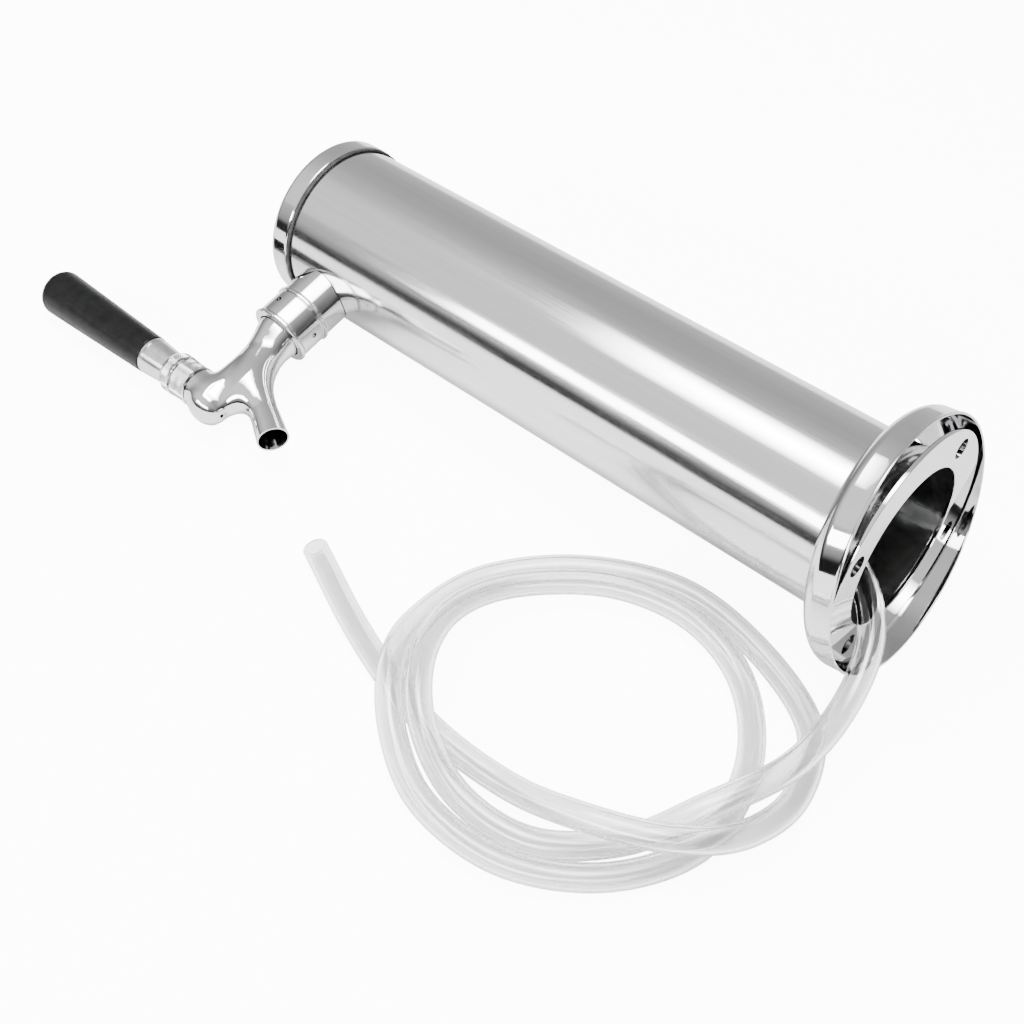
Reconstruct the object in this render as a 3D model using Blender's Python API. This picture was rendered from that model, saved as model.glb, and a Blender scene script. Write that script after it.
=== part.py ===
"""Single-faucet beer tap tower, lying on its side with its hose loosely coiled beside it.

Metres, +Z up. The tower is modelled in its own frame, parented to the empty "tower_frame":
    Z  up the column, 0 at the underside of the mounting plate
    X  from the column's axis out towards the faucet
The empty lays the tower down, so that it rests on its trim ring, its cap and its tap handle.
"""
import math

import bmesh
import bpy
from mathutils import Matrix, Vector

MM = 0.001
GAP = 0.3 * MM                       # clearance between neighbouring pieces
ROUND = 48                           # sides of the large turned pieces
SMALL = 24                           # sides of the small turned pieces

# --- how the tower lies -------------------------------------------------------------------------
TOWER_PLACE = (0.19564, 0.03330, 0.05330)   # centre of the plate's underside
TOWER_SLOPE = math.radians(2.494)     # column's slope down to its cap
TOWER_ROLL = math.radians(12.853)     # faucet's dip below the level
# --- column, plate and cap ----------------------------------------------------------------------
COLUMN_R = 38.1 * MM
COLUMN_WALL = 1.0 * MM
COLUMN_TOP = 317.5 * MM
PLATE_R = 51.2 * MM
PLATE_HOLE_R = 35.0 * MM
PLATE_THICK = 2.0 * MM
SCREW_CIRCLE_R = 43.5 * MM
SCREW_HOLE_R = 4.5 * MM
SCREW_TURNS = (42.0, 147.0, 222.0, 327.0)   # degrees round the plate: two pairs, each pair opposite
CAP_R = 39.5 * MM
CAP_LOW = 310.9 * MM
CAP_TOP = 321.7 * MM
CAP_EDGE = 3.2 * MM                  # radius of the cap's outer edge
CAP_WALL = 0.8 * MM
SEAL_RING = (38.45 * MM, 39.2 * MM, 309.2 * MM, 310.6 * MM)   # inner, outer, bottom, top
PLUG_RING = (33.0 * MM, 36.8 * MM, 308.0 * MM, 320.2 * MM)
LINER = (31.0 * MM, 36.8 * MM, 22.0 * MM, 246.0 * MM)
# --- trim ring ----------------------------------------------------------------------------------
TRIM_RIM_R = 55.3 * MM
TRIM_WALL_R = 55.0 * MM
TRIM_WALL_TOP = 8.4 * MM
TRIM_HEIGHT = 17.2 * MM
TRIM_HOLE_R = 39.4 * MM
TRIM_SHEET = 1.0 * MM
TRIM_PLACE = (0.25 * MM, -0.2 * MM, 14.6 * MM)    # centre of its hole, its joint's point
TRIM_TILT = (math.radians(7.9), math.radians(2.2))
# --- shank, through the column's wall -----------------------------------------------------------
SHANK_Z = 289.7 * MM
SHANK_R = 11.0 * MM
SHANK_BORE_R = 4.0 * MM
SHANK_IN = 17.5 * MM
SHANK_OUT = 61.0 * MM
VALVE_ROOM_R = 7.5 * MM              # wider bore where the valve sits
VALVE_ROOM_IN = 47.0 * MM
SADDLE_R = 14.3 * MM
SADDLE_OUT = 49.8 * MM
INNER_SADDLE_R = 16.0 * MM
INNER_SADDLE_IN = 29.5 * MM
THREAD_R = SHANK_R + GAP             # bore of whatever sits on the shank
LOCK_NUT = (21.8 * MM, 29.2 * MM, 17.3 * MM)      # inner end, outer end, corner radius
TAIL_NUT = (10.0 * MM, 21.5 * MM, 16.2 * MM)
TAIL_NUT_WALL = 2.4 * MM
TAIL_WASHER = (5.0 * MM, 10.8 * MM, 15.8 * MM, 17.2 * MM)
TAIL_FLANGE = (12.7 * MM, 15.5 * MM, 10.8 * MM)
TAIL_R = 5.6 * MM
TAIL_BORE_R = 2.6 * MM
ELBOW_X = -2.0 * MM                  # axis of the barb, behind the column's axis
ELBOW_BEND_R = 12.0 * MM
BARB_R = 3.6 * MM
BARB_TOP = 274.0 * MM
BARB_LOW = 252.0 * MM
# --- hose ---------------------------------------------------------------------------------------
HOSE_R = 5.5 * MM
HOSE_BORE_R = 4.0 * MM
HOSE_TOP = 273.0 * MM                # where the hose ends on the barb
HOSE_CUFF_LOW = 251.0 * MM
CLAMP = (HOSE_R + GAP, 6.7 * MM, 259.0 * MM, 266.0 * MM)
HOSE_STEPS = 2                       # stretches of hose between two points of its route
# Route of the hose in mm, in the world: down inside the column, out over the rim of the trim ring,
# then twice round on the table to its cut end.
HOSE_ROUTE = (
    (-42.14, 35.25, 43.4), (-24.14, 35.2, 44.2), (10.86, 41.5, 36),
    (76.36, 48.5, 31.3), (137.36, 41, 37.7), (177.86, 28, 38), (202.36, 8, 32.5),
    (212.36, -20, 23.7), (212.86, -55, 19.5), (199.86, -89.5, 17), (182.86, -116.5, 6.5),
    (157.36, -139.5, 6.2),
    (124.86, -143.5, 7.7), (97.36, -133.5, 17.3), (77.36, -111.5, 20), (68.36, -83.5, 14.7),
    (77.36, -55.5, 10.8),
    (105.36, -29.5, 10.2), (139.36, -19.5, 8.2), (171.86, -29, 5.8), (196.86, -58, 5.9),
    (204.86, -96.5, 5.7),
    (188.36, -130.5, 5.9), (156.36, -153, 7.5), (118.36, -155, 7.8), (89.36, -141.5, 14),
    (68.86, -119.5, 17.5),
    (58.36, -91.5, 9), (62.36, -59.5, 6), (87.36, -28.5, 5.7), (124.86, -9, 5.7), (165.36, -11.5, 5.7),
    (203.36, -28, 6), (218.36, -57, 6.2), (215.36, -87.5, 13), (198.36, -110.5, 19.5),
    (168.86, -123.5, 16.4),
    (134.86, -128, 6.8), (92.36, -128, 5.7), (46.36, -116, 5.7), (-1.14, -97, 5.7),
)
# --- faucet -------------------------------------------------------------------------------------
NUT_IN = 50.1 * MM
NUT_OUT = 66.9 * MM
NUT_R = 14.4 * MM
NUT_RIM_R = 15.2 * MM
NUT_RIM_WIDE = 1.6 * MM
SPANNER_HOLE_R = 1.3 * MM
SPANNER_X = 57.5 * MM
SPANNER_TURNS = (-73.5, -178.5, 54.0)  # degrees round the nut, from the side of the lever
BODY_IN = 62.9 * MM
BODY_FLANGE_R = 13.0 * MM
BODY_FLANGE_OUT = 65.2 * MM
BODY_NECK_R = 11.4 * MM
NOSE_X = 114.9 * MM
NOSE_R = 9.4 * MM
NOSE_BLUNT = 0.76                    # length of the rounded nose, as a share of its radius
NOSE_Z = 287.8 * MM
LEVER_X = 109.5 * MM
SOCKET_R = 9.3 * MM
SOCKET_TOP = 298.0 * MM
SOCKET_BORE_R = 5.5 * MM
SOCKET_LEDGE = 294.7 * MM
FINGER_SLOT_R = 4.2 * MM
BONNET_NECK_R = 7.5 * MM             # threaded neck inside the bonnet
BONNET_NECK_TOP = 303.0 * MM
SPOUT_MOUTH = (109.8 * MM, 248.7 * MM)
SPOUT_BORE_R = 4.4 * MM
SPOUT_MOUTH_BORE_R = 6.0 * MM
GASKET = (6.6 * MM, 12.4 * MM, 61.3 * MM, 62.6 * MM)
VALVE_BORE_R = 4.0 * MM
VALVE_ROD_R = 3.6 * MM
VALVE_TAIL_R = 2.2 * MM
VALVE_OUT = 114.0 * MM
VALVE_SHOULDER = 63.2 * MM
VALVE_IN = 56.6 * MM
VALVE_SEAL = (2.5 * MM, 6.1 * MM, 60.9 * MM, 62.6 * MM)
VALVE_NUT = (2.5 * MM, 4.8 * MM, 57.4 * MM, 60.6 * MM)
PIVOT_Z = 299.5 * MM                 # centre of the lever's ball
BALL_R = 5.0 * MM
FINGER_R = 1.6 * MM
FINGER_LOW = 287.4 * MM
FINGER_SLOT = (3.1, 2.1)             # half length and half width of the slot in the valve shaft, in mm
STEM_R = 2.8 * MM
STEM_TOP = 348.0 * MM
BALL_WASHER = (4.4 * MM, 5.2 * MM, 295.0 * MM, 296.4 * MM)
FRICTION_WASHER = (5.1 * MM, 7.5 * MM, 303.3 * MM, 304.5 * MM)
BONNET_R = 9.7 * MM
BONNET_LOW = 299.2 * MM
BONNET_TOP = 309.2 * MM
BONNET_LIP_R = 6.8 * MM
BONNET_LIP_LOW = 304.8 * MM
COLLAR_LOW = 310.2 * MM
COLLAR_TOP = 316.6 * MM
COLLAR_R = 9.9 * MM
COLLAR_TOP_R = 8.9 * MM
COLLAR_DISH = (9.2 * MM, 6.0 * MM, 312.3 * MM)   # outer and inner radius and top of the hollow underside
FERRULE_LOW_R = 7.9 * MM
FERRULE_R = 8.9 * MM
FERRULE_TOP = 331.9 * MM
HANDLE_LOW_R = 9.2 * MM
HANDLE_TOP_R = 11.2 * MM
HANDLE_END = 404.7 * MM
HANDLE_EDGE = 4.5 * MM
HANDLE_BORE_TOP = 352.0 * MM


# --- helpers ------------------------------------------------------------------------------------
def clear_scene():
    for obj in list(bpy.data.objects):
        bpy.data.objects.remove(obj, do_unlink=True)


def finish_material(name, color, roughness, metallic):
    mat = bpy.data.materials.new(name)
    mat.use_nodes = True
    shader = mat.node_tree.nodes["Principled BSDF"]
    shader.inputs["Base Color"].default_value = (*color, 1.0)
    shader.inputs["Roughness"].default_value = roughness
    shader.inputs["Metallic"].default_value = metallic
    mat.diffuse_color = (*color, 1.0)
    return mat


def mesh_object(name, bm):
    """Turns a bmesh into a linked object with its faces pointing out."""
    bmesh.ops.recalc_face_normals(bm, faces=bm.faces)
    mesh = bpy.data.meshes.new(name)
    bm.to_mesh(mesh)
    bm.free()
    obj = bpy.data.objects.new(name, mesh)
    bpy.context.scene.collection.objects.link(obj)
    return obj


def turned(name, outline, sides=SMALL, matrix=None):
    """A turned solid: the closed outline of (radius, height) points spun round Z."""
    bm = bmesh.new()
    verts = [bm.verts.new((r, 0.0, z)) for r, z in outline]
    pairs = list(zip(verts, verts[1:]))
    if outline[0][0] > 0.0:
        pairs.append((verts[-1], verts[0]))
    edges = [bm.edges.new(pair) for pair in pairs]
    bmesh.ops.spin(bm, geom=edges + verts, axis=(0, 0, 1), cent=(0, 0, 0),
                   angle=2 * math.pi, steps=sides, use_merge=True, use_duplicate=False)
    bmesh.ops.remove_doubles(bm, verts=bm.verts, dist=1e-7)
    if matrix is not None:
        bmesh.ops.transform(bm, matrix=matrix, verts=bm.verts)
    return mesh_object(name, bm)


def sleeve(name, inner, outer, low, high, sides=SMALL, matrix=None):
    """A plain ring with a square section."""
    outline = [(outer, low), (outer, high), (inner, high), (inner, low)]
    return turned(name, outline, sides, matrix)


def rod(name, radius, low, high, sides=SMALL, matrix=None):
    outline = [(0.0, low), (radius, low), (radius, high), (0.0, high)]
    return turned(name, outline, sides, matrix)


def tube(name, centres, radii, sides=SMALL):
    """A solid of round sections, at right angles to a line of centres in the XZ plane."""
    bm = bmesh.new()
    rings = []
    for i, centre in enumerate(centres):
        ahead = Vector(centres[min(i + 1, len(centres) - 1)])
        behind = Vector(centres[max(i - 1, 0)])
        along = (ahead - behind).normalized()
        across = Vector((0.0, 1.0, 0.0))
        up = across.cross(along)
        ring = []
        for k in range(sides):
            a = 2 * math.pi * k / sides
            offset = across * math.cos(a) + up * math.sin(a)
            ring.append(bm.verts.new(Vector(centre) + offset * radii[i]))
        rings.append(ring)
    for low, high in zip(rings, rings[1:]):
        for k in range(sides):
            j = (k + 1) % sides
            bm.faces.new((low[k], low[j], high[j], high[k]))
    bm.faces.new(rings[0])
    bm.faces.new(rings[-1])
    return mesh_object(name, bm)


def smooth_line(points, steps):
    """Points on a Catmull-Rom curve through the given ones, with the given steps per stretch."""
    pts = [Vector(p) for p in points]
    pts = [2 * pts[0] - pts[1]] + pts + [2 * pts[-1] - pts[-2]]
    line = []
    for a, b, c, d in zip(pts, pts[1:], pts[2:], pts[3:]):
        for k in range(steps):
            t = k / steps
            line.append(0.5 * (2 * b + (c - a) * t + (2 * a - 5 * b + 4 * c - d) * t ** 2
                               + (3 * b - a - 3 * c + d) * t ** 3))
    line.append(pts[-2])
    return line


def combine(target, tools, operation):
    """Joins solids to the target, or cuts them from it, and removes them."""
    for tool in tools:
        modifier = target.modifiers.new("Boolean", "BOOLEAN")
        modifier.operation = operation
        modifier.object = tool
        graph = bpy.context.evaluated_depsgraph_get()
        mesh = bpy.data.meshes.new_from_object(target.evaluated_get(graph))
        target.modifiers.clear()
        target.data = mesh
        bpy.data.objects.remove(tool, do_unlink=True)
    return target


def cut(target, *tools):
    return combine(target, tools, "DIFFERENCE")


def join(target, *tools):
    return combine(target, tools, "UNION")


def place(obj, material, parent, origin=(0.0, 0.0, 0.0), sharp=35.0):
    """Gives the piece its finish, its parent and its own origin."""
    obj.data.transform(Matrix.Translation(-Vector(origin)))
    obj.location = origin
    obj.parent = parent
    obj.data.materials.clear()
    obj.data.materials.append(material)
    obj.data.shade_smooth()
    obj.data.set_sharp_from_angle(angle=math.radians(sharp))
    return obj


def along_shank(x=0.0, z=SHANK_Z):
    """Turns a solid made along Z so that it lies along the shank."""
    return Matrix.Translation((x, 0.0, z)) @ Matrix.Rotation(math.pi / 2, 4, "Y")


def at_lever(z=0.0):
    return Matrix.Translation((LEVER_X, 0.0, z))


def quarter(centre, size, start, steps=6):
    """A quarter of an ellipse in an outline, from the given angle in degrees."""
    points = []
    for k in range(steps + 1):
        a = math.radians(start + 90.0 * k / steps)
        points.append((centre[0] + size[0] * math.cos(a), centre[1] + size[1] * math.sin(a)))
    return points


def hex_bar(name, corner_r, low, high, matrix):
    return rod(name, corner_r, low, high, 6, matrix)


# --- column, foot and cap -----------------------------------------------------------------------
def mounting_plate():
    plate = sleeve("mounting_plate", PLATE_HOLE_R, PLATE_R, 0.0, PLATE_THICK, ROUND)
    for degrees in SCREW_TURNS:
        a = math.radians(degrees)
        spot = Matrix.Translation((SCREW_CIRCLE_R * math.cos(a), SCREW_CIRCLE_R * math.sin(a), 0.0))
        cut(plate, rod("hole", SCREW_HOLE_R, -MM, 2 * PLATE_THICK, 20, spot))
    return plate


def column_tube():
    tube_ = sleeve("column_tube", COLUMN_R - COLUMN_WALL, COLUMN_R, PLATE_THICK + GAP, COLUMN_TOP, ROUND)
    return cut(tube_, rod("hole", SHANK_R + 0.5 * MM, 20 * MM, 60 * MM, SMALL, along_shank()))


def top_cap():
    skirt_r = CAP_R - CAP_WALL
    outline = [(0.0, CAP_TOP - CAP_WALL), (skirt_r - 1.6 * MM, CAP_TOP - CAP_WALL)]
    outline += [(skirt_r, CAP_TOP - CAP_EDGE), (skirt_r, CAP_LOW), (CAP_R, CAP_LOW)]
    outline += quarter((CAP_R - CAP_EDGE, CAP_TOP - CAP_EDGE), (CAP_EDGE, CAP_EDGE), 0.0)
    outline += [(0.0, CAP_TOP)]
    return turned("top_cap", outline, ROUND)


def trim_ring():
    """A dished sheet ring, in its own frame with 0 at its hole."""
    low = -TRIM_HEIGHT
    wall_top = low + TRIM_WALL_TOP
    size = (TRIM_WALL_R - TRIM_HOLE_R, TRIM_HEIGHT - TRIM_WALL_TOP)
    sheet = TRIM_SHEET
    outer = [(TRIM_RIM_R, low)] + quarter((TRIM_HOLE_R, wall_top), size, 0.0, 8)
    inner_size = (size[0] - sheet, size[1] - sheet)
    inner = quarter((TRIM_HOLE_R, wall_top), inner_size, 0.0, 8)
    inner.reverse()
    outline = outer + inner + [(TRIM_RIM_R - sheet, low)]
    return turned("trim_ring", outline, ROUND)


# --- shank and tailpiece ------------------------------------------------------------------------
def shank_tube():
    outline = [(SHANK_R, SHANK_IN), (SHANK_R, SHANK_OUT), (VALVE_ROOM_R, SHANK_OUT),
               (VALVE_ROOM_R, VALVE_ROOM_IN), (SHANK_BORE_R, VALVE_ROOM_IN - 3 * MM),
               (SHANK_BORE_R, SHANK_IN)]
    return turned("shank", outline, SMALL, along_shank())


def outer_saddle():
    piece = sleeve("outer_saddle", THREAD_R, SADDLE_R, 30 * MM, SADDLE_OUT, SMALL, along_shank())
    return cut(piece, rod("column", COLUMN_R + GAP, 250 * MM, 330 * MM, 2 * ROUND))


def inner_saddle():
    piece = sleeve("inner_saddle", THREAD_R, INNER_SADDLE_R, INNER_SADDLE_IN, 45 * MM, SMALL,
                   along_shank())
    wall = sleeve("wall", COLUMN_R - COLUMN_WALL - GAP, 60 * MM, 250 * MM, 330 * MM, 2 * ROUND)
    return cut(piece, wall)


def lock_nut():
    inner, outer, corner_r = LOCK_NUT
    nut = hex_bar("shank_lock_nut", corner_r, inner, outer, along_shank())
    return cut(nut, rod("bore", THREAD_R, inner - MM, outer + MM, SMALL, along_shank()))


def tailpiece_nut():
    inner, outer, corner_r = TAIL_NUT
    nut = hex_bar("tailpiece_nut", corner_r, inner, outer, along_shank())
    wide = rod("wide", THREAD_R, inner + TAIL_NUT_WALL, outer + MM, SMALL, along_shank())
    narrow = rod("narrow", TAIL_R + GAP, inner - MM, outer, SMALL, along_shank())
    return cut(nut, wide, narrow)


def elbow_tailpiece():
    flange_in, flange_out, flange_r = TAIL_FLANGE
    bend = [(ELBOW_X + ELBOW_BEND_R, 0.0, SHANK_Z)]
    for k in range(1, 9):
        a = math.radians(90.0 * k / 8)
        bend.append((ELBOW_X + ELBOW_BEND_R * (1.0 - math.sin(a)), 0.0,
                     SHANK_Z - ELBOW_BEND_R * (1.0 - math.cos(a))))
    line = [(flange_out - MM, 0.0, SHANK_Z)] + bend + [(ELBOW_X, 0.0, BARB_TOP)]
    piece = tube("elbow_tailpiece", line, [TAIL_R] * len(line))
    join(piece, rod("flange", flange_r, flange_in, flange_out, SMALL, along_shank()))
    barb = [(0.0, BARB_LOW), (BARB_R - 0.5 * MM, BARB_LOW)]
    for k in range(4):
        z = BARB_LOW + 4 * MM * (k + 1)
        barb += [(BARB_R, z - 0.6 * MM), (BARB_R - 0.4 * MM, z)]
    barb += [(BARB_R - 0.4 * MM, BARB_TOP + MM), (0.0, BARB_TOP + MM)]
    join(piece, turned("barb", barb, SMALL, Matrix.Translation((ELBOW_X, 0.0, 0.0))))
    way = [(flange_out + 2 * MM, 0.0, SHANK_Z)] + bend + [(ELBOW_X, 0.0, BARB_LOW - MM)]
    return cut(piece, tube("bore", way, [TAIL_BORE_R] * len(way), 12))


def hose_clamp():
    inner, outer, low, high = CLAMP
    band = sleeve("hose_clamp", inner, outer, low, high, SMALL)
    bm = bmesh.new()
    bmesh.ops.create_cube(bm, size=1.0)
    bmesh.ops.scale(bm, vec=(3 * MM, 5 * MM, high - low - 0.6 * MM), verts=bm.verts)
    bmesh.ops.translate(bm, vec=(-outer - 1.0 * MM, 0.0, (low + high) / 2), verts=bm.verts)
    ear = mesh_object("ear", bm)
    join(band, ear)
    band.data.transform(Matrix.Translation((ELBOW_X, 0.0, 0.0)))
    return band


def hose(start):
    """The hose below its cuff, from the given point in the world to its cut end."""
    route = [start] + [Vector(point) * MM for point in HOSE_ROUTE]
    line = smooth_line(route, HOSE_STEPS)
    curve = bpy.data.curves.new("hose", "CURVE")
    curve.dimensions = "3D"
    curve.bevel_depth = HOSE_R
    curve.bevel_resolution = 3
    curve.use_fill_caps = True
    spline = curve.splines.new("POLY")
    spline.points.add(len(line) - 1)
    for point, place_ in zip(spline.points, line):
        point.co = (*place_, 1.0)
    spline.use_smooth = True
    obj = bpy.data.objects.new("hose", curve)
    bpy.context.scene.collection.objects.link(obj)
    return obj


# --- faucet -------------------------------------------------------------------------------------
def coupling_nut():
    rim_in = NUT_IN + NUT_RIM_WIDE
    rim_out = NUT_OUT - NUT_RIM_WIDE
    outline = [(NUT_RIM_R - 0.4 * MM, NUT_IN), (NUT_RIM_R, NUT_IN + 0.5 * MM), (NUT_RIM_R, rim_in),
               (NUT_R, rim_in + 0.5 * MM), (NUT_R, rim_out - 0.5 * MM), (NUT_RIM_R, rim_out),
               (NUT_RIM_R, NUT_OUT - 0.5 * MM), (NUT_RIM_R - 0.5 * MM, NUT_OUT),
               (BODY_NECK_R + GAP, NUT_OUT), (BODY_NECK_R + GAP, BODY_FLANGE_OUT + GAP),
               (BODY_FLANGE_R + GAP, BODY_FLANGE_OUT + GAP), (BODY_FLANGE_R + GAP, 59.0 * MM),
               (THREAD_R, 57.6 * MM), (THREAD_R, NUT_IN)]
    nut = turned("coupling_nut", outline, 36, along_shank())
    for degrees in SPANNER_TURNS:
        turn = Matrix.Translation((SPANNER_X, 0.0, SHANK_Z)) @ Matrix.Rotation(math.radians(degrees), 4, "X")
        cut(nut, rod("hole", SPANNER_HOLE_R, NUT_R - 1.0 * MM, 20 * MM, 8, turn))
    return nut


def spout_line():
    """Centres of the spout, from inside the body down to its mouth."""
    mouth_x, mouth_z = SPOUT_MOUTH
    route = [(84 * MM, 0.0, 287 * MM), (90.4 * MM, 0.0, 281 * MM), (96.4 * MM, 0.0, 273 * MM),
             (101.6 * MM, 0.0, 263.5 * MM), (mouth_x, 0.0, mouth_z)]
    return smooth_line(route, 4)


def faucet_body():
    """The barrel that narrows from the nut, swells to a round nose, and carries socket and spout."""
    centres = [(66 * MM, SHANK_Z), (68 * MM, SHANK_Z), (71 * MM, SHANK_Z - 0.5 * MM),
               (75 * MM, SHANK_Z - 1.3 * MM), (80 * MM, SHANK_Z - 2.1 * MM), (86 * MM, SHANK_Z - 2.6 * MM),
               (92 * MM, SHANK_Z - 2.7 * MM), (98 * MM, SHANK_Z - 2.6 * MM), (104 * MM, NOSE_Z - 0.4 * MM),
               (110 * MM, NOSE_Z)]
    radii = [11.1 * MM, 11.0 * MM, 10.4 * MM, 9.4 * MM, 8.6 * MM, 8.2 * MM, 8.3 * MM, 8.5 * MM, 9.0 * MM,
             9.3 * MM]
    for k in range(8):
        a = math.radians(12.0 * k)
        centres.append((NOSE_X + NOSE_BLUNT * NOSE_R * math.sin(a), NOSE_Z))
        radii.append(NOSE_R * math.cos(a))
    body = tube("faucet_body", [(x, 0.0, z) for x, z in centres], radii, 28)
    rear = [(0.0, BODY_IN), (BODY_FLANGE_R, BODY_IN), (BODY_FLANGE_R, BODY_FLANGE_OUT),
            (BODY_NECK_R, BODY_FLANGE_OUT), (BODY_NECK_R, 67.6 * MM), (0.0, 67.6 * MM)]
    socket = [(0.0, SHANK_Z), (SOCKET_R, SHANK_Z), (SOCKET_R, SOCKET_TOP), (BONNET_NECK_R, SOCKET_TOP),
              (BONNET_NECK_R, BONNET_NECK_TOP), (0.0, BONNET_NECK_TOP)]
    line = spout_line()
    flare = [7.6 * MM] * (len(line) - 9) + [7.3 * MM, 7.0 * MM, 6.7 * MM, 6.5 * MM, 6.5 * MM, 6.7 * MM]
    flare += [7.0 * MM, 7.3 * MM, 7.6 * MM]
    web = [(94 * MM, 0.0, 280 * MM), (100 * MM, 0.0, 280.5 * MM), (106 * MM, 0.0, 282.5 * MM),
           (112 * MM, 0.0, 285 * MM)]
    join(body, turned("rear", rear, SMALL, along_shank()), turned("socket", socket, SMALL, at_lever()),
         tube("web", web, [7.4 * MM, 7.2 * MM, 6.6 * MM, 6.2 * MM]), tube("spout", line, flare))
    inside = line[3:] + [line[-1] + (line[-1] - line[-2]) * 0.2]
    bore = [SPOUT_BORE_R] * (len(inside) - 6)
    bore += [SPOUT_BORE_R + (SPOUT_MOUTH_BORE_R - SPOUT_BORE_R) * (k + 1) / 6 for k in range(6)]
    seat = [(0.0, SHANK_Z), (FINGER_SLOT_R, SHANK_Z), (FINGER_SLOT_R, SOCKET_LEDGE),
            (SOCKET_BORE_R, SOCKET_LEDGE), (SOCKET_BORE_R, 310 * MM), (0.0, 310 * MM)]
    return cut(body, tube("spout_bore", inside, bore, 20),
               rod("valve_bore", VALVE_BORE_R, BODY_IN - MM, NOSE_X + 2.5 * MM, 18, along_shank()),
               turned("ball_seat", seat, 20, at_lever()))


def valve_shaft():
    outline = [(0.0, VALVE_IN), (VALVE_TAIL_R, VALVE_IN), (VALVE_TAIL_R, VALVE_SHOULDER),
               (VALVE_ROD_R, VALVE_SHOULDER), (VALVE_ROD_R, VALVE_OUT - MM),
               (VALVE_ROD_R - MM, VALVE_OUT), (0.0, VALVE_OUT)]
    shaft = turned("valve_shaft", outline, 24, along_shank())
    spread = Matrix.Diagonal((*FINGER_SLOT, 1.0, 1.0))
    slot = rod("finger_slot", MM, SHANK_Z - 10 * MM, SHANK_Z + 10 * MM, 20, at_lever() @ spread)
    return cut(shaft, slot)


def lever():
    steps = 8
    outline = [(0.0, FINGER_LOW), (FINGER_R - 0.4 * MM, FINGER_LOW), (FINGER_R, FINGER_LOW + 0.6 * MM)]
    low = math.asin(FINGER_R / BALL_R)
    high = math.pi - math.asin(STEM_R / BALL_R)
    for k in range(steps + 1):
        a = low + (high - low) * k / steps
        outline.append((BALL_R * math.sin(a), PIVOT_Z - BALL_R * math.cos(a)))
    outline += [(STEM_R, STEM_TOP - MM), (STEM_R - MM, STEM_TOP), (0.0, STEM_TOP)]
    return turned("lever", outline, 24, at_lever())


def bonnet():
    outline = [(BONNET_R - 0.5 * MM, BONNET_LOW), (BONNET_R, BONNET_LOW + 0.5 * MM),
               (BONNET_R, BONNET_TOP - 0.7 * MM), (BONNET_R - 0.5 * MM, BONNET_TOP),
               (BONNET_LIP_R, BONNET_TOP), (BONNET_LIP_R, BONNET_LIP_LOW),
               (BONNET_NECK_R + GAP, BONNET_LIP_LOW), (BONNET_NECK_R + GAP, BONNET_LOW)]
    return turned("bonnet", outline, 32, at_lever())


def lever_collar():
    dish_out, dish_in, dish_top = COLLAR_DISH
    outline = [(COLLAR_R - 0.3 * MM, COLLAR_LOW), (COLLAR_R, COLLAR_LOW + 0.4 * MM),
               (COLLAR_R, COLLAR_LOW + 4.2 * MM), (COLLAR_TOP_R, COLLAR_TOP),
               (STEM_R + GAP, COLLAR_TOP), (STEM_R + GAP, dish_top), (dish_in, dish_top),
               (dish_out, COLLAR_LOW)]
    return turned("lever_collar", outline, 32, at_lever())


def ferrule():
    low = COLLAR_TOP + GAP
    bore = STEM_R + GAP
    outline = [(bore, low), (FERRULE_LOW_R, low), (FERRULE_R, FERRULE_TOP), (bore, FERRULE_TOP)]
    return turned("ferrule", outline, 32, at_lever())


def tap_handle():
    low = FERRULE_TOP + GAP
    bore = STEM_R + GAP
    outline = [(0.0, HANDLE_BORE_TOP), (bore, HANDLE_BORE_TOP), (bore, low), (HANDLE_LOW_R, low)]
    outline += quarter((HANDLE_TOP_R - HANDLE_EDGE, HANDLE_END - HANDLE_EDGE),
                       (HANDLE_EDGE, HANDLE_EDGE), 0.0)
    outline += [(0.0, HANDLE_END + 0.6 * MM)]
    return turned("tap_handle", outline, 32, at_lever())


# --- assembly -----------------------------------------------------------------------------------
def tower_frame():
    """The empty that lays the tower down."""
    frame = bpy.data.objects.new("tower_frame", None)
    bpy.context.scene.collection.objects.link(frame)
    frame.rotation_mode = "ZYX"
    frame.rotation_euler = (0.0, -math.pi / 2 - TOWER_SLOPE, -math.pi / 2 - TOWER_ROLL)
    frame.location = TOWER_PLACE
    return frame


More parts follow.
